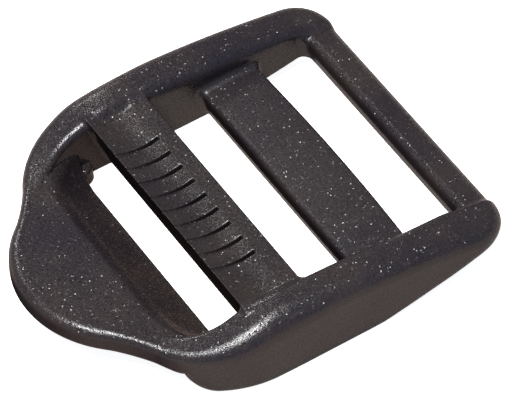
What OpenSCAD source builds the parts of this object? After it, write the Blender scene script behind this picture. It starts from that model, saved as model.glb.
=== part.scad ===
// Ladder-lock strap adjuster for flat webbing, one plastic moulding.
// X runs along the bars, the lift tab is at -Y, the fixed end is at +Y, +Z is up.
// The origin is the middle of the length and width, at the underside.

/* [Webbing] */
// Nominal webbing width
webbing_w = 25; // [20:1:38]
// Total side play of the webbing between the rails
webbing_play = 1; // [0.5:0.5:2]

/* [Side rails] */
// Thickness of each side rail across X
rail_w = 4.2; // [3.6:0.2:5]
// Height of the rail crown
rail_h = 6.8; // [6.6:0.1:7.4]
// Radius of the long arc along the rail top
rail_top_r = 109; // [100:1:120]
// Length over which the rail sinks from its crown to the tab
shoulder_l = 8; // [6.5:0.5:9]
// Rounding along the outer top edge of each rail
edge_r = 2; // [1:0.1:2.4]
// Rounding along the outer bottom edge of each rail
under_r = 0.7; // [0.5:0.1:0.8]
// Plan radius of the two front corners
corner_r = 10; // [9.5:0.1:10.5]
// Plan radius of the two end corners
tail_r = 3.9; // [3:0.1:4.2]

/* [Lift tab] */
// Length from the recess edge to the tab tip
tab_l = 7.9; // [7:0.1:9]
// Plan radius of the tab tip
tab_r = 10.7; // [10:0.1:11]
// Thickness of the tab plate
tab_t = 2.2; // [1.8:0.1:2.4]
// Height of the tab top where it meets the recess
tab_z = 4.3; // [4:0.1:4.5]
// Rounding along the top rim of the tab
tab_edge_r = 0.9; // [0.5:0.1:1.1]
// Rounding along the bottom rim of the tab
tab_under_r = 0.6; // [0.3:0.1:0.7]
// Upward tilt of the tab towards its tip, in degrees
tab_tilt = 5.4; // [3:0.2:7]

/* [Front bar] */
// Plan length of the sloping front bar
ramp_l = 4.9; // [4.5:0.1:5.5]
// Height of the edge at the foot of the slope
ramp_foot_z = 0.5; // [0.4:0.1:0.8]
// Plan length of the flat under the foot of the slope
ramp_flat_l = 1.9; // [1.5:0.1:2.2]
// Radius of the small boss in each front slot corner
boss_r = 1.1; // [0.8:0.1:1.3]
// Height of the small boss
boss_h = 1.6; // [1:0.1:2]

/* [Grip bar] */
// Throat between the front bar and the grip bar at the underside
throat_gap = 3.15; // [2.8:0.05:3.5]
// Width of the grip bar top behind its lower front edge
grip_back_w = 4.2; // [3.8:0.1:4.6]
// Width of the grip bar at the underside
grip_base_w = 3.4; // [3:0.1:3.7]
// Forward lean of the biting edge
grip_lean = 1.7; // [1:0.1:2]
// Height of the biting edge
grip_h = 6.4; // [6.2:0.1:6.5]
// Height of the flat land behind the dish
grip_land_z = 6; // [5.8:0.1:6.1]
// Width of the flat land behind the dish
grip_land_w = 1.5; // [1:0.1:2]
// Depth of the dish below the line between its edges
dish_depth = 0.45; // [0.2:0.05:0.6]
// Number of grooves across the dish
groove_n = 9; // [7:1:9]
// Spacing of the grooves
groove_pitch = 2.05; // [1.8:0.05:2.2]
// Width of each groove
groove_w = 0.4; // [0.3:0.05:0.5]
// Depth of each groove
groove_depth = 0.5; // [0.3:0.05:0.6]

/* [Centre bar] */
// Slot between the grip bar and the centre bar
take_up_gap = 5.4; // [5:0.1:6]
// Width of the centre bar
centre_w = 6.1; // [5.5:0.1:6.5]
// Height of the centre bar top
centre_z = 3.5; // [3.2:0.1:3.8]
// Forward lean of the centre bar's front face
centre_lean = 0.6; // [0.3:0.1:0.8]
// Clearance of the centre bar above the rail underside
centre_lift = 0.1; // [0:0.05:0.3]

/* [End bar] */
// Slot between the centre bar and the end bar
anchor_gap = 5.1; // [4.8:0.1:5.6]
// Width of the end bar
end_w = 3.15; // [2.8:0.05:3.6]
// Height of the end bar top
end_z = 3.8; // [3.5:0.1:4]
// Height of the end bar underside
end_lift = 1.35; // [1:0.05:1.5]
// Fall of the end bar top towards the outside
end_fall = 0.35; // [0.1:0.05:0.5]
// Size of the outer edge cuts on the end bar
end_cut = 0.8; // [0.4:0.1:0.9]

/* [Underside] */
// Underside rise of the rail at the front corner
foot_rise = 2.1; // [1.8:0.1:2.3]
// Length of the flat part of the underside behind the grip bar front
flat_l = 10; // [9:0.5:11]
// Length of the curved rise at the front corner
foot_l = 1.9; // [1.5:0.1:2.4]

/* [Hidden] */
$fn = 72;
eps = 0.01;
big = 100;
inner_x = (webbing_w + webbing_play) / 2;
half_w = inner_x + rail_w;
// reach of the tilted tab beyond the recess edge, to the lower rim of its tip
tab_reach = tab_l * cos(tab_tilt) + tab_t * sin(tab_tilt);
overall_l = tab_reach + ramp_l + throat_gap + grip_back_w + take_up_gap + centre_w + anchor_gap + end_w;
y_ramp = tab_reach - overall_l / 2;
y_throat = y_ramp + ramp_l;
y_grip = y_throat + throat_gap;
y_grip_back = y_grip + grip_back_w;
y_centre = y_grip_back + take_up_gap;
y_centre_back = y_centre + centre_w;
y_end = y_centre_back + anchor_gap;
y_tail = y_end + end_w;
y_kick = y_grip + flat_l;
// middle of the rail crown, a little in front of the grip bar's lower edge
y_crown = y_grip - 0.5;
// where the front corners of the outline meet the straight sides
y_corner = y_grip - 0.6;
// where the shoulder arc leaves the crown
y_shoulder = y_ramp + shoulder_l;
dish_front_y = y_grip - grip_lean;
dish_back_y = y_grip_back - grip_land_w;
steps = 10;
edge_steps = 5;

// height of the rail crown at a station along the length
function crown_z(y) = rail_h - rail_top_r + sqrt(rail_top_r * rail_top_r - (y - y_crown) * (y - y_crown));

// height of the underside at a station behind the flat
function kick_z(y) = end_lift * max(0, (y - y_kick) / (y_end - y_kick));

// height of the dish floor between its front and back edges
function dish_z(t) = grip_h + (grip_land_z - grip_h) * t - 4 * dish_depth * t * (1 - t);

// side view of a rail: front shoulder, crown arc, square end, underside, front corner
module rail_side() {
    shoulder_rise = crown_z(y_shoulder) - tab_z;
    shoulder_r = (shoulder_l * shoulder_l + shoulder_rise * shoulder_rise) / (2 * shoulder_rise);
    shoulder_mid = crown_z(y_shoulder) - shoulder_r;
    shoulder_low = asin((tab_z - shoulder_mid) / shoulder_r);
    shoulder = [for (i = [0:steps])
        let (a = 180 - shoulder_low - (90 - shoulder_low) * i / steps)
        [y_shoulder + shoulder_r * cos(a), shoulder_mid + shoulder_r * sin(a)]];
    crown = [for (i = [1:steps])
        let (y = y_shoulder + (y_tail - y_shoulder) * i / steps)
        [y, crown_z(y)]];
    under = [[y_tail, kick_z(y_tail)], [y_kick, 0]];
    foot = [for (i = [0:steps])
        let (a = 90 * i / steps)
        [y_ramp + foot_l * (1 - sin(a)), foot_rise * (1 - cos(a))]];
    polygon(concat(shoulder, crown, under, foot, [[y_ramp, tab_z]]));
}

// side view of a rail with its top lowered and its underside raised, for the rounded outer edges
module trimmed_side(drop, raise) {
    intersection() {
        rail_side();
        scale([1, 1 - drop / rail_h]) rail_side();
        translate([0, raise]) rail_side();
    }
}

// outline of the frame in plan, without the tab, drawn inwards by inset
module frame_plan(inset) {
    front_x = half_w - corner_r;
    tail_x = half_w - tail_r;
    for (s = [-1, 1]) {
        translate([s * front_x, y_corner]) circle(r = corner_r - inset, $fn = 120);
        translate([s * tail_x, y_tail - tail_r]) circle(r = tail_r - inset, $fn = 48);
    }
    translate([-front_x, y_corner - corner_r + inset]) square([2 * front_x, corner_r]);
    translate([inset - half_w, y_corner]) square([2 * (half_w - inset), y_tail - tail_r - y_corner]);
    translate([-tail_x, y_tail - tail_r - eps]) square([2 * tail_x, tail_r + eps - inset]);
}

// places a side view drawn as (y, z) so that it runs along X from x0 for a length w
module along_x(x0, w) {
    translate([x0, 0, 0]) rotate([90, 0, 90]) linear_extrude(w) children();
}

// how far a rounding of radius r falls back from its edge line at a given inset
function fall(r, inset) = inset >= r ? 0 : r - sqrt(r * r - (r - inset) * (r - inset));

// flat inner wall, with the outer edges rounded along the whole outline
module rail() {
    hull() for (i = [0:edge_steps]) {
        inset = edge_r * (1 - sin(90 * i / edge_steps));
        intersection() {
            along_x(inner_x, rail_w) trimmed_side(fall(edge_r, inset), fall(under_r, inset));
            translate([0, 0, -1]) linear_extrude(rail_h + 2) frame_plan(inset);
        }
    }
}

module right_rail() {
    color([0.13, 0.12, 0.11]) rail();
}

module left_rail() {
    color([0.13, 0.12, 0.11]) mirror([1, 0, 0]) rail();
}

// one layer of the tab plate, thinned from both sides, with its top at height 0
module tab_layer(inset) {
    bottom = fall(tab_under_r, inset) - tab_t;
    translate([0, 0, bottom]) linear_extrude(-fall(tab_edge_r, inset) - bottom) children();
}

// plate with a rounded tip and rims, tilted up towards the tip and cut square at the recess
module lift_tab() {
    insets = [for (i = [0:edge_steps]) tab_edge_r * (1 - sin(90 * i / edge_steps))];
    color([0.15, 0.14, 0.13]) intersection() {
        translate([0, y_ramp, tab_z]) rotate([-tab_tilt, 0, 0]) translate([0, -y_ramp, 0]) {
            hull() for (inset = insets)
                tab_layer(inset) translate([0, y_ramp - tab_l + tab_r]) circle(r = tab_r - inset, $fn = 120);
            hull() for (inset = insets)
                tab_layer(inset) intersection() {
                    frame_plan(inset);
                    translate([-half_w, y_ramp - tab_l]) square([2 * half_w, tab_l + 1]);
                }
        }
        translate([-big / 2, y_ramp - big, -big / 2]) cube([big, big, big]);
    }
}

// sloping web from the tab down to the front edge of the throat
module front_bar() {
    tab_under = tab_z - tab_t / cos(tab_tilt);
    color([0.11, 0.1, 0.09]) along_x(-inner_x, 2 * inner_x)
        polygon([[y_ramp, tab_z], [y_ramp, tab_under], [y_throat - ramp_flat_l, eps],
            [y_throat, eps], [y_throat, ramp_foot_z]]);
}

// quarter-round boss in a front corner of the throat
module boss() {
    intersection() {
        translate([inner_x, y_throat, eps]) cylinder(r = boss_r, h = boss_h);
        translate([inner_x - 2 * boss_r, y_throat, 0]) cube([2 * boss_r, 2 * boss_r, 2 * boss_h]);
    }
}

module right_boss() {
    color([0.14, 0.13, 0.12]) boss();
}

module left_boss() {
    color([0.14, 0.13, 0.12]) mirror([1, 0, 0]) boss();
}

// leaning bar with a dished, grooved top that bites the webbing
module grip_bar() {
    dish = [for (i = [0:steps])
        [dish_front_y + (dish_back_y - dish_front_y) * i / steps, dish_z(i / steps)]];
    groove_floor = [for (i = [0:steps])
        [dish_front_y - eps + (dish_back_y - dish_front_y) * i / steps,
            dish_z(i / steps) - groove_depth * (i == steps ? 0 : 1)]];
    color([0.12, 0.12, 0.11]) difference() {
        along_x(-inner_x, 2 * inner_x)
            polygon(concat([[y_grip + grip_base_w, 0], [y_grip, 0]], dish,
                [[y_grip_back, grip_land_z]]));
        for (i = [0:groove_n - 1])
            along_x((i - (groove_n - 1) / 2) * groove_pitch - groove_w / 2, groove_w)
                polygon(concat(groove_floor, [[dish_back_y, rail_h + 1], [dish_front_y - 1, rail_h + 1],
                    [dish_front_y - 1, grip_h - groove_depth]]));
    }
}

// wide plain bar the webbing wraps
module centre_bar() {
    color([0.13, 0.13, 0.12]) along_x(-inner_x, 2 * inner_x)
        polygon([[y_centre, centre_z],
            [y_centre + centre_lean, kick_z(y_centre + centre_lean) + centre_lift],
            [y_centre_back, kick_z(y_centre_back) + centre_lift],
            [y_centre_back, centre_z]]);
}

// narrow bar across the fixed end
module end_bar() {
    color([0.14, 0.13, 0.12]) along_x(-inner_x, 2 * inner_x)
        polygon([[y_end, end_z], [y_end, end_lift], [y_tail - end_cut / 2, end_lift],
            [y_tail, end_lift + end_cut / 2], [y_tail, end_z - end_fall - end_cut],
            [y_tail - end_cut, end_z - end_fall]]);
}

left_rail();
right_rail();
lift_tab();
front_bar();
left_boss();
right_boss();
grip_bar();
centre_bar();
end_bar();
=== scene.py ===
"""A black plastic ladder-lock strap adjuster on a white studio floor.

The buckle is one moulding. Its form is written below as one signed distance function, in
millimetres in the row frame, and a piece is the part of it that belongs to one CAD node. The
two bosses have a small form of their own.
"""

import math

import bmesh
import bpy
import numpy as np
from mathutils import Matrix, Vector


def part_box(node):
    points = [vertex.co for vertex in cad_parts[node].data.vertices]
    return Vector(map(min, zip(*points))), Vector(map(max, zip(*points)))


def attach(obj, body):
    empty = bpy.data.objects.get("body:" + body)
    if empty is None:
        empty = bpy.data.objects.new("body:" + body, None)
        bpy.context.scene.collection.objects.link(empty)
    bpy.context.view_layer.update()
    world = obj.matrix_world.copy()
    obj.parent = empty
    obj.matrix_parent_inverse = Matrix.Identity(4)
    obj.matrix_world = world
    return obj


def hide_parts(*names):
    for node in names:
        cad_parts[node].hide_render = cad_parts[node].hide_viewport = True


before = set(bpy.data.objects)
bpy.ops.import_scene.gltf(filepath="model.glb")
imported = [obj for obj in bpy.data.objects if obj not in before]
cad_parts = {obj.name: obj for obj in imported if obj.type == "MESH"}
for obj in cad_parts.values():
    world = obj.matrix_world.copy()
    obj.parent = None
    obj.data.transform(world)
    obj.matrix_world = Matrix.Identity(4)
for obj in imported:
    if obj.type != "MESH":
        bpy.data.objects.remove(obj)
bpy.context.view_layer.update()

MM = 0.001


def cad_box(node):
    """Lowest and highest corner of a CAD node, in millimetres."""
    low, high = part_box(node)
    return [c / MM for c in low], [c / MM for c in high]


# ---------------------------------------------------------------- stations from the CAD model
RAIL_LOW, RAIL_HIGH = cad_box("right_rail")
RAMP_LOW, RAMP_HIGH = cad_box("front_bar")
GRIP_LOW, GRIP_HIGH = cad_box("grip_bar")
CENTRE_LOW, CENTRE_HIGH = cad_box("centre_bar")
END_LOW, END_HIGH = cad_box("end_bar")
BOSS_LOW, BOSS_HIGH = cad_box("right_boss")

INNER_X, HALF_W = RAIL_LOW[0], RAIL_HIGH[0]
RAIL_Z = RAIL_HIGH[2]
Y_RAMP, Y_THROAT, TAB_Z = RAMP_LOW[1], RAMP_HIGH[1], RAMP_HIGH[2]
Y_DISH, GRIP_Z, Y_GRIP_BACK = GRIP_LOW[1], GRIP_HIGH[2], GRIP_HIGH[1]
Y_CENTRE, Y_CENTRE_BACK, CENTRE_Z = CENTRE_LOW[1], CENTRE_HIGH[1], CENTRE_HIGH[2]
Y_END, Y_TAIL, END_Z, END_LIFT = END_LOW[1], END_HIGH[1], END_HIGH[2], END_LOW[2]

# ---------------------------------------------------------------- form, in millimetres
# frame
CORNER_R = 9.8  # plan radius of the front corners
TAIL_R = 3.7  # plan radius of the end corners
OPENING_R = 1.0  # plan radius in the corners of the last slot
RAIL_TOP_R = 105.0  # long arc along the rail crown
CLIMB_LEAD = 1.0  # the rails start to climb this far in front of the ridge
CLIMB_PAST = 2.0  # and reach their crown arc this far behind its top
CLIMB_POWER = 0.78  # under 1, so they climb soonest near the tab
EDGE_R = 1.7  # outer top edge of the rails
SHOULDER_R = 2.25  # the same edge where the rail sinks towards the tab
INNER_EDGE_R = 1.65  # inner top edge of the rails
RIM_R = 0.9  # outer top edge round the tab
END_RIM_R = 1.2  # outer top edge along the end bar
UNDER_R = 0.25  # outer bottom edge of the rails
UNDER_END_R = 1.4  # the same edge round the end corners
INNER_UNDER_R = 0.2  # inner bottom edge of the rails
FOOT_R = 2.1  # front corner of the rail underside
FOOT_FILLET_R = 0.4  # between the rail's foot and the underside of the tab
TAIL_LIFT = 0.5  # extra rise under the end corners
END_FALL = 0.35  # fall of the end bar's top towards the back

# tab and slope
TAB_L = 7.9  # ridge to tip
TAB_R = 10.7  # plan radius of the tip
TAB_T = 2.2  # thickness
TAB_TILT = math.radians(5.4)  # the tip is up
FLANK_R = 1.9  # fillet in plan between the tab and the front corner
TAB_UNDER_R = 0.6  # bottom edge round the tab
RIDGE_R = 0.8  # edge between the tab top and the slope
RECESS_R = 2.6  # fillet between the slope and the walls beside it
RECESS_CORNER_R = 6.0  # plan radius where those walls turn towards the tab
RAMP_FOOT_Z = 0.5  # height of the slope where it ends at the throat
RAMP_FLAT_L = 1.9  # flat part of its underside, in front of the throat
WEB_OVERLAP = 0.4  # the web under the slope runs this far into the rails
WEB_SIDE_R = 0.3  # bottom edge along the web's sides
WEB_FILLET_R = 0.8  # between the web and the underside of the tab
THROAT_R = 0.2  # front edges of the throat

# grip bar
GRIP_LEAN = 1.7  # its front leans this far forward
GRIP_BASE_W = 3.4  # front to back, at its foot
GRIP_OVERHANG = 0.1  # its back's top edge, before rounding, past the CAD's
GRIP_R = 0.1  # its front and back edges
GRIP_UNDER_R = 0.06  # its bottom edges
LAND_Z = 6.0  # height of the narrow land behind the dish
LAND_W = 1.5  # width of that land
DISH_DEPTH = 0.45  # below a straight line from the front edge to the land
GROOVE_N = 9
GROOVE_PITCH = 2.05
GROOVE_W = 0.36
GROOVE_DEPTH = 0.8  # where the groove meets the land
GROOVE_START = 0.25  # share of that depth at the front edge
GROOVE_BED_R = 0.08  # edge between a groove's side and its bed
GROOVE_LIP_R = 0.12  # edge between a groove's side and the dish

# centre bar
CENTRE_LEAN = 0.6  # its front leans this far forward
CENTRE_LIFT = 0.1  # above the underside of the rails
CENTRE_BOW = 0.35  # how much narrower the centre bar is at its ends
CENTRE_CROWN = 0.012  # fall of its top at 1 mm from the middle, as a parabola
CENTRE_OVERHANG = 0.08  # its back, in the middle, past the CAD's
CENTRE_FRONT_R, CENTRE_BACK_R, CENTRE_UNDER_R = 0.6, 0.3, 0.15  # top edges, bottom edges

BAR_OVERLAP = 1.0  # the bars run this far into the rails
FILLET_R = 0.45  # where a bar meets a rail
FILLET_MIN_R = 0.03  # the same at the foot of a bar
CENTRE_FILLET = 1.6  # how many times larger those fillets are on the centre bar
BOSS_R, BOSS_OVERLAP, BOSS_LIFT = 0.25, 0.1, 0.02  # top edge, into the walls, off the floor

# stations that follow from those
Y_GRIP = Y_DISH + GRIP_LEAN
Y_LAND = Y_GRIP_BACK - LAND_W
Y_CROWN = Y_GRIP  # highest point of the rails
Y_CORNER = Y_GRIP - 0.6  # back of the tab's underside beside the rails
Y_FRONT = Y_GRIP - 10.6  # front of the outline, without the tab
Y_RECESS = Y_RAMP - 0.8  # front of the opening, under the tab
Y_KICK = Y_GRIP + 10.0  # where the underside starts to rise towards the end
KICK_SLOPE = END_LIFT / (Y_END - Y_KICK)


def smooth(low, high, v):
    """0 below low, 1 above high, smooth between."""
    t = np.clip((v - low) / (high - low), 0, 1)
    return t * t * (3 - 2 * t)


def cut(a, b, r):
    """Overlap of two solids, with the edge between them rounded to radius r."""
    corner = np.hypot(np.maximum(a + r, 0), np.maximum(b + r, 0))
    return np.minimum(np.maximum(a, b), -r) + corner


def join(a, b, r):
    """Union of two solids, with a fillet of radius r between them."""
    return -cut(-a, -b, r)


def plane(y, z, start, end):
    """Distance to the left of the line from start to end, both (y, z)."""
    dy, dz = end[0] - start[0], end[1] - start[1]
    return (dy * (z - start[1]) - dz * (y - start[0])) / math.hypot(dy, dz)


def outline(ax, y):
    """The frame in plan, without the tab."""
    back = cut(ax - HALF_W, y - Y_TAIL, TAIL_R)
    return cut(back, Y_FRONT - y, CORNER_R)


def opening(ax, y):
    """The opening that the bars cross, in plan. Its front end shapes the recess."""
    back = cut(ax - INNER_X, y - Y_END, OPENING_R)
    return cut(back, Y_RECESS - y, RECESS_CORNER_R)


def rail_top(y):
    """Height of the rails: a long crown that sinks into the plane of the tab."""
    crown = RAIL_Z - RAIL_TOP_R + np.sqrt(RAIL_TOP_R**2 - (y - Y_CROWN) ** 2)
    tab = TAB_Z - (y - Y_RAMP) * math.tan(TAB_TILT)
    run = Y_CROWN + CLIMB_PAST - Y_RAMP + CLIMB_LEAD
    climb = np.clip((y - Y_RAMP + CLIMB_LEAD) / run, 0, 1) ** CLIMB_POWER
    return tab + (crown - tab) * smooth(0, 1, climb)


def tab_axes(y, z):
    """Distance along the tilted tab behind the ridge, and height above its top."""
    c, s = math.cos(TAB_TILT), math.sin(TAB_TILT)
    dy, dz = y - Y_RAMP, z - TAB_Z
    return dy * c - dz * s, dy * s + dz * c


def underside(ax, y):
    """Height of the underside: flat, then rising to the end bar and under its corners."""
    rise = np.maximum(np.minimum(y, Y_END) - Y_KICK, 0)
    on_rail = smooth(INNER_X - 0.5, INNER_X + 0.5, ax)
    return KICK_SLOPE * rise + (TAIL_LIFT * on_rail) * smooth(Y_END - 4, Y_TAIL, y)


def rails_and_end(ax, y, z):
    """The frame round the opening: both rails, the front corners and the end bar.

    Each window below goes from 0 to 1 over a stretch of the frame, and blends a height or an
    edge's radius into the next one.
    """
    side, hole = outline(ax, y), opening(ax, y)
    on_rail = smooth(INNER_X - 0.45, INNER_X + 0.65, ax)
    near_end = smooth(Y_END - 2.0, Y_END + 0.4, y)
    end_top = END_Z - END_FALL * smooth(Y_END, Y_TAIL, y)
    height = rail_top(y)
    height = height - near_end * (1 - on_rail) * (height - end_top)

    # top edges: the outer and the inner one have radii of their own
    outer = smooth(-0.6, 0.2, side + hole)
    behind = smooth(Y_RAMP + 1.5, Y_CROWN + 2.0, y)
    at_end = smooth(Y_END - 7.5, Y_END - 0.5, y)
    across_end = smooth(Y_END - 1, Y_TAIL, y)
    outer_r = RIM_R + behind * (EDGE_R - RIM_R) + across_end * (END_RIM_R - EDGE_R)
    on_shoulder = smooth(Y_RAMP, Y_THROAT, y) * (1 - smooth(Y_GRIP, Y_GRIP + 7, y))
    outer_r = outer_r + on_shoulder * (SHOULDER_R - EDGE_R)
    past_throat = smooth(Y_THROAT, Y_GRIP + 4, y)
    inner_r = RIDGE_R + past_throat * (INNER_EDGE_R - RIDGE_R) * (1 - at_end)

    # underside and its edges
    foot = cut(underside(ax, y) - z, Y_RAMP + 0.1 - y, FOOT_R)
    tab_under = np.maximum(-tab_axes(y, z)[1] - TAB_T, y - Y_CORNER)
    low = join(foot, tab_under, FOOT_FILLET_R)
    low_r = INNER_UNDER_R + outer * (UNDER_R - INNER_UNDER_R)
    low_r = low_r + (1 - behind) * outer * (TAB_UNDER_R - UNDER_R)
    low_r = low_r + outer * smooth(Y_KICK - 2, Y_TAIL, y) * (UNDER_END_R - UNDER_R)
    walls = np.maximum(side, -hole)
    return cut(cut(walls, z - height, inner_r + outer * (outer_r - inner_r)), low, low_r)


def tab_and_ramp(ax, y, z):
    """The tilted tab and the web that slopes from it down to the throat."""
    along, above = tab_axes(y, z)
    lobe = np.hypot(ax, along + TAB_L - TAB_R) - TAB_R
    plan = join(lobe, outline(ax, y), FLANK_R)
    slope = plane(y, z, (Y_RAMP, TAB_Z), (Y_THROAT, RAMP_FOOT_Z))
    recess = cut(-slope, cut(ax - INNER_X, Y_RECESS - y, RECESS_CORNER_R), RECESS_R)
    top = cut(above, -recess, RIDGE_R)
    under_z = TAB_Z - TAB_T / math.cos(TAB_TILT)
    web_under = plane(y, z, (Y_THROAT - RAMP_FLAT_L, 0), (Y_RAMP, under_z))
    web = cut(np.maximum(web_under, -z), ax - INNER_X - WEB_OVERLAP, WEB_SIDE_R)
    low = join(-above - TAB_T, web, WEB_FILLET_R)
    return cut(cut(cut(plan, top, RIM_R), low, TAB_UNDER_R), y - Y_THROAT, THROAT_R)


def grooves(x, y, z, surface):
    """Narrow cuts across the dish that deepen towards the land."""
    reach = (GROOVE_N - 1) / 2
    nearest = np.clip(np.round(x / GROOVE_PITCH), -reach, reach) * GROOVE_PITCH
    t = np.clip((y - Y_DISH) / (Y_LAND - Y_DISH), 0, 1)
    depth = GROOVE_DEPTH * (GROOVE_START + (1 - GROOVE_START) * t * t)
    width = np.abs(x - nearest) - GROOVE_W / 2
    return cut(np.maximum(width, y - Y_LAND), -surface - depth, GROOVE_BED_R)


def grip_bar(x, ax, y, z):
    """The leaning bar with a dished, grooved top."""
    t = np.clip((y - Y_DISH) / (Y_LAND - Y_DISH), -0.3, 1)
    dish = GRIP_Z + (LAND_Z - GRIP_Z) * t - 4 * DISH_DEPTH * t * (1 - t)
    front = plane(y, z, (Y_GRIP, 0), (Y_DISH, GRIP_Z))
    back = plane(y, z, (Y_GRIP_BACK + GRIP_OVERHANG, LAND_Z), (Y_GRIP + GRIP_BASE_W, 0))
    body = cut(cut(cut(z - dish, back, GRIP_R), front, GRIP_R), -z, GRIP_UNDER_R)
    body = cut(body, -grooves(x, y, z, z - dish), GROOVE_LIP_R)
    return np.maximum(body, ax - INNER_X - BAR_OVERLAP)


def centre_bar(ax, y, z):
    """The wide plain bar, a little wider in its middle."""
    bow = CENTRE_BOW * (ax / INNER_X) ** 2
    middle = (Y_CENTRE + Y_CENTRE_BACK) / 2
    top = z - CENTRE_Z + CENTRE_CROWN * (y - middle) ** 2
    low = underside(ax, y) + CENTRE_LIFT - z
    front = plane(y, z, (Y_CENTRE + CENTRE_LEAN, CENTRE_LIFT), (Y_CENTRE, CENTRE_Z))
    back = y - Y_CENTRE_BACK - CENTRE_OVERHANG + bow
    body = cut(cut(front, top, CENTRE_FRONT_R), back, CENTRE_BACK_R)
    return np.maximum(cut(body, low, CENTRE_UNDER_R), ax - INNER_X - BAR_OVERLAP)


def buckle(x, y, z):
    """Distance to the surface of the moulding, without its bosses. Negative inside."""
    ax = np.abs(x)
    solid = np.minimum(tab_and_ramp(ax, y, z), rails_and_end(ax, y, z))
    fillet = FILLET_MIN_R + FILLET_R * smooth(0.1, 1.0, z)
    solid = join(solid, grip_bar(x, ax, y, z), fillet)
    return join(solid, centre_bar(ax, y, z), fillet * CENTRE_FILLET)


def boss(x, y, z):
    """The quarter-round post in each front corner of the throat."""
    ax = np.abs(x)
    radius, height = BOSS_HIGH[0] - BOSS_LOW[0], BOSS_HIGH[2]
    post = np.hypot(ax - INNER_X, y - Y_THROAT) - radius
    body = cut(post, z - height, BOSS_R)
    walls = np.maximum(ax - INNER_X - BOSS_OVERLAP, Y_THROAT - BOSS_OVERLAP - y)
    return np.maximum(np.maximum(body, walls), BOSS_LIFT - z)


# ---------------------------------------------------------------- meshes
MARGIN = 0.5  # millimetres sampled beyond the form
CUT_MARGIN = 5  # grid steps sampled beyond a cut
SETTLE_ROUNDS = 4
LONGEST_MOVE = 0.4  # of a grid step, in one round
NUDGE = 1e-7  # keeps grid points off the surface
SHADING_H = 0.02  # millimetres each way, wide enough to even out the shading of sharp edges


def surface_nets(field, low, step):
    """Quads round the zero level of a sampled field: one vertex in each cell it crosses."""
    inside = field < 0
    corners = [(i, j, k) for i in (0, 1) for j in (0, 1) for k in (0, 1)]
    nx, ny, nz = (n - 1 for n in field.shape)

    def shifted(a, c):
        return a[c[0] : c[0] + nx, c[1] : c[1] + ny, c[2] : c[2] + nz]

    count = sum(shifted(inside, c).astype(np.int8) for c in corners)
    cells = np.argwhere((count > 0) & (count < 8))
    total, hits = np.zeros((len(cells), 3)), np.zeros(len(cells))
    for a in corners:
        for axis in range(3):
            if a[axis]:
                continue
            b = tuple(v + (n == axis) for n, v in enumerate(a))
            fa, fb = field[tuple((cells + a).T)], field[tuple((cells + b).T)]
            crossed = (fa < 0) != (fb < 0)
            t = np.where(crossed, fa / np.where(crossed, fa - fb, 1), 0)
            point = np.tile(np.array(a, float), (len(cells), 1))
            point[:, axis] += t
            total += point * crossed[:, None]
            hits += crossed
    verts = np.array(low) + step * (cells + total / hits[:, None])

    index = np.full((nx, ny, nz), -1, np.int64)
    index[tuple(cells.T)] = np.arange(len(cells))
    quads = []
    for axis in range(3):
        u, v = (axis + 1) % 3, (axis + 2) % 3
        ahead = np.roll(inside, -1, axis)
        sign = inside.astype(np.int8) - ahead.astype(np.int8)
        edges = np.argwhere(sign != 0)
        fits = edges[:, axis] < field.shape[axis] - 1
        for w in (u, v):
            fits &= (edges[:, w] > 0) & (edges[:, w] < field.shape[w] - 1)
        edges = edges[fits]
        around = []
        for du, dv in ((1, 1), (0, 1), (0, 0), (1, 0)):
            cell = edges.copy()
            cell[:, u] -= du
            cell[:, v] -= dv
            around.append(index[tuple(cell.T)])
        ring = np.stack(around, 1)
        outward = sign[tuple(edges.T)] > 0
        ring[~outward] = ring[~outward][:, ::-1]
        quads.append(ring)
    return verts, np.concatenate(quads)


def gradient(form, p, h=0.004):
    """Outward direction of a form at each point, not normalised."""
    parts = []
    for axis in range(3):
        d = np.zeros(3)
        d[axis] = h
        parts.append((form(*(p + d).T) - form(*(p - d).T)) / (2 * h))
    return np.stack(parts, 1)


def settle(form, p, step):
    """Moves points onto the form's surface."""
    for _ in range(SETTLE_ROUNDS):
        g = gradient(form, p)
        size = np.maximum((g * g).sum(1), 0.05)
        move = -(form(*p.T) / size)[:, None] * g
        length = np.linalg.norm(move, axis=1, keepdims=True)
        p = p + move * np.minimum(1, LONGEST_MOVE * step / np.maximum(length, 1e-9))
    return p


def sample(form, low, high, step):
    """The form's surface in one block of space, as vertices and quads."""
    first = [math.floor(v / step) for v in low]
    last = [math.ceil(v / step) for v in high]
    axes = [np.arange(a, b + 1) * step for a, b in zip(first, last)]
    x, y, z = axes[0][:, None, None], axes[1][None, :, None], axes[2][None, None, :]
    field = np.array(np.broadcast_to(form(x, y, z) + NUDGE, [len(a) for a in axes]))
    for axis in range(3):
        np.moveaxis(field, axis, 0)[[0, -1]] = step  # closes the block, beyond the cuts
    verts, quads = surface_nets(field, [a[0] for a in axes], step)
    return settle(form, verts, step), quads


def close_at(bm, point, normal):
    """Cuts away what lies beyond a plane and closes the cut with a flat cap."""
    everything = bm.verts[:] + bm.edges[:] + bm.faces[:]
    bmesh.ops.bisect_plane(
        bm, geom=everything, dist=1e-5, plane_co=point, plane_no=normal, clear_outer=True
    )
    rim = [e for e in bm.edges if e.is_boundary]
    if rim:
        caps = bmesh.ops.holes_fill(bm, edges=rim, sides=0)["faces"]
        for face in bmesh.ops.triangulate(bm, faces=caps)["faces"]:
            face.smooth = False


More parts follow.
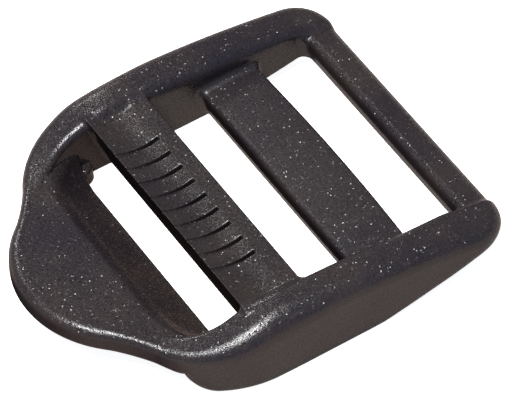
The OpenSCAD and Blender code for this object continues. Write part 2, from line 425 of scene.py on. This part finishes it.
def build_piece(name, form, low, high, planes, step):
    """One closed piece of a form. planes are (point, outward normal) of its cuts."""
    verts, quads = sample(form, low, high, step)
    mesh = bpy.data.meshes.new(name)
    mesh.from_pydata(verts.tolist(), [], quads.tolist())
    bm = bmesh.new()
    bm.from_mesh(mesh)
    for face in bm.faces:
        face.smooth = True
    for point, normal in planes:
        close_at(bm, Vector(point), Vector(normal))
    bmesh.ops.delete(bm, geom=[v for v in bm.verts if not v.link_faces], context="VERTS")
    bm.to_mesh(mesh)
    bm.free()
    shade_from_form(mesh, form)
    mesh.transform(Matrix.Scale(MM, 4))
    piece = bpy.data.objects.new(name, mesh)
    bpy.context.scene.collection.objects.link(piece)
    return piece


def shade_from_form(mesh, form):
    """Takes each vertex's shading direction from the form, so that the seams don't show."""
    points = np.zeros(len(mesh.vertices) * 3)
    mesh.vertices.foreach_get("co", points)
    points = points.reshape(-1, 3)
    g = gradient(form, points, SHADING_H)
    g /= np.maximum(np.linalg.norm(g, axis=1, keepdims=True), 1e-9)
    normals = np.zeros((len(mesh.loops), 3))
    for face in mesh.polygons:
        for loop in face.loop_indices:
            vertex = mesh.loops[loop].vertex_index
            normals[loop] = g[vertex] if face.use_smooth else face.normal
    mesh.normals_split_custom_set(normals.tolist())


# ---------------------------------------------------------------- materials
DARK_TINT, BRIGHT_TINT = (0.72, 0.66, 0.84), (1.42, 1.28, 1.18)  # of the plastic's patches
WORN = (0.02, 0.018, 0.017, 1)  # added along handled edges
ROUGHER, SMOOTHER = 0.12, 0.1  # how far the roughness strays each way
GRAIN_SCALE, PIT_SCALE, PATCH_SCALE = 5200, 8500.0, 140  # per metre
GRAIN_DEPTH = 0.00006  # metres
PIT_SHARE = 0.7  # how much the pits count for beside the specks, in the bump
SPECULAR = 0.5  # the shader's usual level

WHITE_FLOOR, WHITE_GLOW = (0.93, 0.93, 0.93, 1), 0.9
BOUNCE = (0.45, 0.375, 0.335, 1)
SHADED_BOUNCE = (0.26, 0.19, 0.16, 1)  # in front of the grip bar


def node(tree, kind, **values):
    """A new node. Values are its properties, or its inputs where it has no such property."""
    made = tree.nodes.new(kind)
    for key, value in values.items():
        if isinstance(value, tuple) or key not in made.bl_rna.properties:
            made.inputs[key.replace("_", " ")].default_value = value
        else:
            setattr(made, key, value)
    return made


def noise(tree, coords, scale, detail=2.0, rough=0.5):
    made = node(tree, "ShaderNodeTexNoise", Scale=scale, Detail=detail, Roughness=rough)
    tree.links.new(coords, made.inputs["Vector"])
    return made.outputs["Fac"]


def spread(tree, value, from_low, from_high, to_low, to_high):
    """Maps one range of a value to another, smoothly, and holds it at the ends."""
    made = node(tree, "ShaderNodeMapRange")
    made.interpolation_type = "SMOOTHSTEP"
    limits = {"From Min": from_low, "From Max": from_high, "To Min": to_low, "To Max": to_high}
    for key, number in limits.items():
        made.inputs[key].default_value = number
    tree.links.new(value, made.inputs["Value"])
    return made.outputs["Result"]


def maths(tree, operation, a, b):
    made = node(tree, "ShaderNodeMath", operation=operation)
    for socket, value in zip(made.inputs, (a, b)):
        if isinstance(value, (int, float)):
            socket.default_value = value
        else:
            tree.links.new(value, socket)
    return made.outputs[0]


def moulded_plastic(name, grain, wall_grain, sparkle, rough, tone, front_shade_above):
    """Black moulded acetal: grained on the faces that look up, with painted shade on those that
    look forward, whose reflection is taken away.

    The forward faces keep half their gloss below a height, the last argument, in millimetres,
    and lose all of it above, as painted shade. grain and wall_grain are bump strengths, and
    sparkle is how far the brightest flecks are tipped.
    """
    material = bpy.data.materials.new(name)
    material.use_nodes = True
    tree = material.node_tree
    shader = tree.nodes["Principled BSDF"]
    shader.inputs["IOR"].default_value = 1.5
    coords = node(tree, "ShaderNodeTexCoord").outputs["Object"]

    # painted shade: the faces that look forward lose their gloss, by the way a face looks
    geometry = node(tree, "ShaderNodeNewGeometry")
    split = node(tree, "ShaderNodeSeparateXYZ")
    tree.links.new(geometry.outputs["Normal"], split.inputs[0])
    facing_up = spread(tree, split.outputs["Z"], 0.25, 0.8, 0.0, 1.0)
    facing_front = spread(tree, split.outputs["Y"], -0.95, -0.7, 1.0, 0.0)
    place = node(tree, "ShaderNodeSeparateXYZ")
    tree.links.new(coords, place.inputs[0])
    high = spread(tree, place.outputs["Z"], front_shade_above * MM, (front_shade_above + 0.5) * MM, 0.5, 1.0)
    # painted shade: specular taken off forward faces stands in for the shadowed floor they would
    # reflect
    painted_front_shade = maths(tree, "MULTIPLY", maths(tree, "MULTIPLY", facing_front, high), SPECULAR)
    tree.links.new(maths(tree, "SUBTRACT", SPECULAR, painted_front_shade), shader.inputs["Specular IOR Level"])

    # colour: soft patches with fine specks, a little paler where edges are handled
    patches = noise(tree, coords, PATCH_SCALE, 3)
    specks = noise(tree, coords, GRAIN_SCALE, 2, 0.6)
    ramp = node(tree, "ShaderNodeValToRGB")
    for stop, tint in zip(ramp.color_ramp.elements, (DARK_TINT, BRIGHT_TINT)):
        stop.color = [t * channel for t, channel in zip(tone, tint)] + [1]
    broad = maths(tree, "MULTIPLY", patches, 0.65)
    mixed = maths(tree, "ADD", broad, maths(tree, "MULTIPLY", specks, 0.35))
    tree.links.new(spread(tree, mixed, 0.35, 0.65, 0.0, 1.0), ramp.inputs[0])
    wear = node(tree, "ShaderNodeMixRGB", blend_type="ADD")
    sharp = spread(tree, geometry.outputs["Pointiness"], 0.52, 0.62, 0.0, 1.0)
    tree.links.new(maths(tree, "MULTIPLY", sharp, patches), wear.inputs[0])
    tree.links.new(ramp.outputs[0], wear.inputs[1])
    wear.inputs[2].default_value = WORN
    tree.links.new(wear.outputs[0], shader.inputs["Base Color"])

    roughness = spread(tree, specks, 0.3, 0.7, rough - SMOOTHER, rough + ROUGHER)
    tree.links.new(roughness, shader.inputs["Roughness"])

    # sparkle: the few luckiest grains are tipped a random way, on faces that look up
    pits = node(tree, "ShaderNodeTexVoronoi", Scale=PIT_SCALE, feature="F1")
    tree.links.new(coords, pits.inputs["Vector"])
    chance = node(tree, "ShaderNodeTexWhiteNoise")
    tree.links.new(pits.outputs["Position"], chance.inputs["Vector"])
    lucky = maths(tree, "ADD", chance.outputs["Value"], maths(tree, "MULTIPLY", patches, 0.3))
    tilt = maths(tree, "MULTIPLY", spread(tree, lucky, 0.98, 1.07, 0.0, 1.0), facing_up)
    centred = node(tree, "ShaderNodeVectorMath", operation="SUBTRACT")
    centred.inputs[1].default_value = (0.5, 0.5, 0.5)
    tree.links.new(pits.outputs["Color"], centred.inputs[0])
    facet = node(tree, "ShaderNodeVectorMath", operation="SCALE")
    tree.links.new(centred.outputs[0], facet.inputs[0])
    tree.links.new(maths(tree, "MULTIPLY", tilt, sparkle), facet.inputs["Scale"])
    turned = node(tree, "ShaderNodeVectorMath", operation="ADD")
    tree.links.new(facet.outputs[0], turned.inputs[0])
    tree.links.new(geometry.outputs["Normal"], turned.inputs[1])
    facets = node(tree, "ShaderNodeVectorMath", operation="NORMALIZE")
    tree.links.new(turned.outputs[0], facets.inputs[0])

    # grain: fine bump, stronger on faces that look up
    pitted = maths(tree, "MULTIPLY", pits.outputs["Distance"], PIT_SHARE)
    height = maths(tree, "ADD", pitted, specks)
    extra = maths(tree, "MULTIPLY", facing_up, grain - wall_grain)
    amount = maths(tree, "ADD", wall_grain, extra)
    bump = node(tree, "ShaderNodeBump", Distance=GRAIN_DEPTH)
    tree.links.new(amount, bump.inputs["Strength"])
    tree.links.new(height, bump.inputs["Height"])
    tree.links.new(facets.outputs[0], bump.inputs["Normal"])
    tree.links.new(bump.outputs[0], shader.inputs["Normal"])
    return material


def floor_material(name, colour, glow):
    """A matt floor of one colour, which also gives off white light where glow is above 0."""
    material = bpy.data.materials.new(name)
    material.use_nodes = True
    tree = material.node_tree
    shader = tree.nodes["Principled BSDF"]
    coords = node(tree, "ShaderNodeTexCoord").outputs["Object"]
    roughness = spread(tree, noise(tree, coords, 30), 0.3, 0.7, 0.75, 0.85)
    tree.links.new(roughness, shader.inputs["Roughness"])
    shader.inputs["Base Color"].default_value = colour
    shader.inputs["Emission Color"].default_value = (1, 1, 1, 1)
    shader.inputs["Emission Strength"].default_value = glow
    return material


def shade_under_tab(material):
    """Darkens the floor in front of the grip bar, between the rails."""
    tree = material.node_tree
    shader = tree.nodes["Principled BSDF"]
    place = node(tree, "ShaderNodeSeparateXYZ")
    tree.links.new(node(tree, "ShaderNodeTexCoord").outputs["Object"], place.inputs[0])
    in_front = spread(tree, place.outputs["Y"], -2.5 * MM, -1.0 * MM, 1.0, 0.0)
    across = maths(tree, "ABSOLUTE", place.outputs["X"], 0)
    between = spread(tree, across, INNER_X * MM, HALF_W * MM, 1.0, 0.0)
    mix = node(tree, "ShaderNodeMixRGB")
    tree.links.new(maths(tree, "MULTIPLY", in_front, between), mix.inputs[0])
    mix.inputs[1].default_value = shader.inputs["Base Color"].default_value
    mix.inputs[2].default_value = SHADED_BOUNCE
    tree.links.new(mix.outputs[0], shader.inputs["Base Color"])


# ---------------------------------------------------------------- the buckle's pieces
SEAM_X = INNER_X - 0.1  # bars are cut from the rails just off the inner walls
FREE_FRONT, FREE_MIDDLE, FREE_BACK = -6.4, 3.0, 14.3  # stations in the open slots
FINE, FINEST = 0.15, 0.1  # grid steps
TIP_MARGIN = 1.0  # more room for the tip of the tab
BOSS_X, BOSS_FRONT, BOSS_BACK = 8.0, 1, 3  # how far round the throat's corners a boss is sampled

# the block of space that holds the whole buckle
LOW = (-HALF_W - MARGIN, RAMP_LOW[1] - TAB_L - TIP_MARGIN - MARGIN, -MARGIN)
HIGH = (HALF_W + MARGIN, Y_TAIL + MARGIN, RAIL_Z + MARGIN)


def add_piece(name, form, x_range, y_range, step, material):
    """Builds the part of a form between cuts (None where the form ends by itself)."""
    low, high, planes = list(LOW), list(HIGH), []
    for axis, (a, b) in enumerate((x_range, y_range)):
        for end, value in ((-1, a), (1, b)):
            if value is None:
                continue
            point, normal = [0.0, 0.0, 0.0], [0.0, 0.0, 0.0]
            point[axis], normal[axis] = value, float(end)
            planes.append((point, normal))
            (low if end < 0 else high)[axis] = value + CUT_MARGIN * end * step
    piece = build_piece(name + "_moulding", form, low, high, planes, step)
    piece.data.materials.append(material)
    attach(piece, "root")
    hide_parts(name)
    return piece


def build_buckle():
    # each material takes the gloss off its forward faces, as painted shade, above the height in
    # its last argument
    grained = moulded_plastic(
        "grained_plastic",
        grain=0.28,
        wall_grain=0.10,
        sparkle=1.6,
        rough=0.27,
        tone=(0.0165, 0.0142, 0.0150),
        front_shade_above=1.9,
    )
    plain = moulded_plastic(
        "plain_plastic",
        grain=0.12,
        wall_grain=0.08,
        sparkle=1.1,
        rough=0.36,
        tone=(0.0138, 0.0118, 0.0128),
        front_shade_above=0.8,
    )
    bitten = moulded_plastic(
        "grip_plastic",
        grain=0.25,
        wall_grain=0.10,
        sparkle=1.5,
        rough=0.29,
        tone=(0.0165, 0.0142, 0.0135),
        front_shade_above=-1,
    )
    bars = (-SEAM_X, SEAM_X)
    add_piece("lift_tab", buckle, (None, None), (None, Y_RAMP), FINE, grained)
    add_piece("left_rail", buckle, (None, -SEAM_X), (Y_RAMP, None), FINE, grained)
    add_piece("right_rail", buckle, (SEAM_X, None), (Y_RAMP, None), FINE, grained)
    add_piece("front_bar", buckle, bars, (Y_RAMP, FREE_FRONT), FINE, grained)
    add_piece("grip_bar", buckle, bars, (FREE_FRONT, FREE_MIDDLE), FINEST, bitten)
    add_piece("centre_bar", buckle, bars, (FREE_MIDDLE, FREE_BACK), FINE, plain)
    add_piece("end_bar", buckle, bars, (FREE_BACK, None), FINE, grained)
    corner = (Y_THROAT - BOSS_FRONT, Y_THROAT + BOSS_BACK)
    for name, reach in (("left_boss", (None, -BOSS_X)), ("right_boss", (BOSS_X, None))):
        add_piece(name, boss, reach, corner, FINEST, grained)


# ---------------------------------------------------------------- studio
CAMERA_AZIMUTH, CAMERA_ELEVATION = math.radians(58.67), math.radians(45.30)
CAMERA_TILT = math.radians(-5.4)
CAMERA_DISTANCE = 0.4475
CAMERA_AIM = Vector((0.00048, 0.00332, 0.00247))
CAMERA_LENS, CAMERA_SENSOR = 355.7, 36
CAMERA_NEAR, CAMERA_FAR = 0.01, 10

SKY_FAR, SKY_NEAR = (0.235, 0.220, 0.225, 1), (0.215, 0.265, 0.380, 1)
FLOOR_Z, BOUNCE_Z, FLOOR_R = -0.00002, -0.00004, 3.0
OVERHEAD = {"place": (0.04, -0.12, 0.38), "size": 0.16, "power": 2.8}
FAR_SIDE = {"place": (-0.34, 0.03, 0.24), "size": 0.06, "power": 0.25}


def add_camera():
    """The photo's view: an orbit round the aim point, then tipped about the row's X axis."""
    a, e = CAMERA_AZIMUTH, CAMERA_ELEVATION
    back = Vector((math.sin(a) * math.cos(e), -math.cos(a) * math.cos(e), math.sin(e)))
    right = Vector((math.cos(a), math.sin(a), 0))
    level = Matrix((right, back.cross(right), back)).transposed()
    turned = Matrix.Rotation(CAMERA_TILT, 3, "X") @ level
    data = bpy.data.cameras.new("photo_camera")
    data.lens, data.sensor_width = CAMERA_LENS, CAMERA_SENSOR
    data.clip_start, data.clip_end = CAMERA_NEAR, CAMERA_FAR
    camera = bpy.data.objects.new("photo_camera", data)
    place = CAMERA_AIM + turned @ Vector((0, 0, CAMERA_DISTANCE))
    camera.matrix_world = Matrix.Translation(place) @ turned.to_4x4()
    bpy.context.scene.collection.objects.link(camera)
    bpy.context.scene.camera = camera


def add_softbox(name, place, size, power):
    """A round light that faces the origin."""
    data = bpy.data.lights.new(name, "AREA")
    data.shape, data.size, data.energy = "DISK", size, power
    light = bpy.data.objects.new(name, data)
    light.location = place
    light.rotation_mode = "QUATERNION"
    light.rotation_quaternion = (-Vector(place)).to_track_quat("-Z", "Y")
    bpy.context.scene.collection.objects.link(light)


def sky(tree):
    """A soft surround: warm grey beyond the far rail, cooler on the near side."""
    coords = node(tree, "ShaderNodeTexCoord").outputs["Generated"]
    split = node(tree, "ShaderNodeSeparateXYZ")
    tree.links.new(coords, split.inputs[0])
    ramp = node(tree, "ShaderNodeValToRGB")
    for stop, colour in zip(ramp.color_ramp.elements, (SKY_FAR, SKY_NEAR)):
        stop.color = colour
    tree.links.new(spread(tree, split.outputs["X"], -0.6, 0.9, 0.0, 1.0), ramp.inputs[0])
    tree.links.new(ramp.outputs[0], tree.nodes["Background"].inputs["Color"])


def add_disc(name, height, colour, glow):
    bm = bmesh.new()
    bmesh.ops.create_circle(bm, cap_ends=True, segments=96, radius=FLOOR_R)
    mesh = bpy.data.meshes.new(name)
    bm.to_mesh(mesh)
    bm.free()
    disc = bpy.data.objects.new(name, mesh)
    disc.location.z = height
    disc.data.materials.append(floor_material(name, colour, glow))
    bpy.context.scene.collection.objects.link(disc)
    return disc


def add_studio():
    world = bpy.data.worlds.new("studio")
    world.use_nodes = True
    sky(world.node_tree)
    bpy.context.scene.world = world
    bpy.context.scene.view_settings.view_transform = "Standard"
    add_softbox("overhead", **OVERHEAD)
    add_softbox("far_side", **FAR_SIDE)

    # the camera sees an even white floor; the buckle reflects one that its own shadow falls on
    floor = add_disc("floor", FLOOR_Z, WHITE_FLOOR, WHITE_GLOW)
    floor.visible_diffuse = floor.visible_glossy = floor.visible_shadow = False
    bounce = add_disc("floor_bounce", BOUNCE_Z, BOUNCE, 0.0)
    bounce.visible_camera = False
    shade_under_tab(bounce.data.materials[0])


build_buckle()
add_camera()
add_studio()
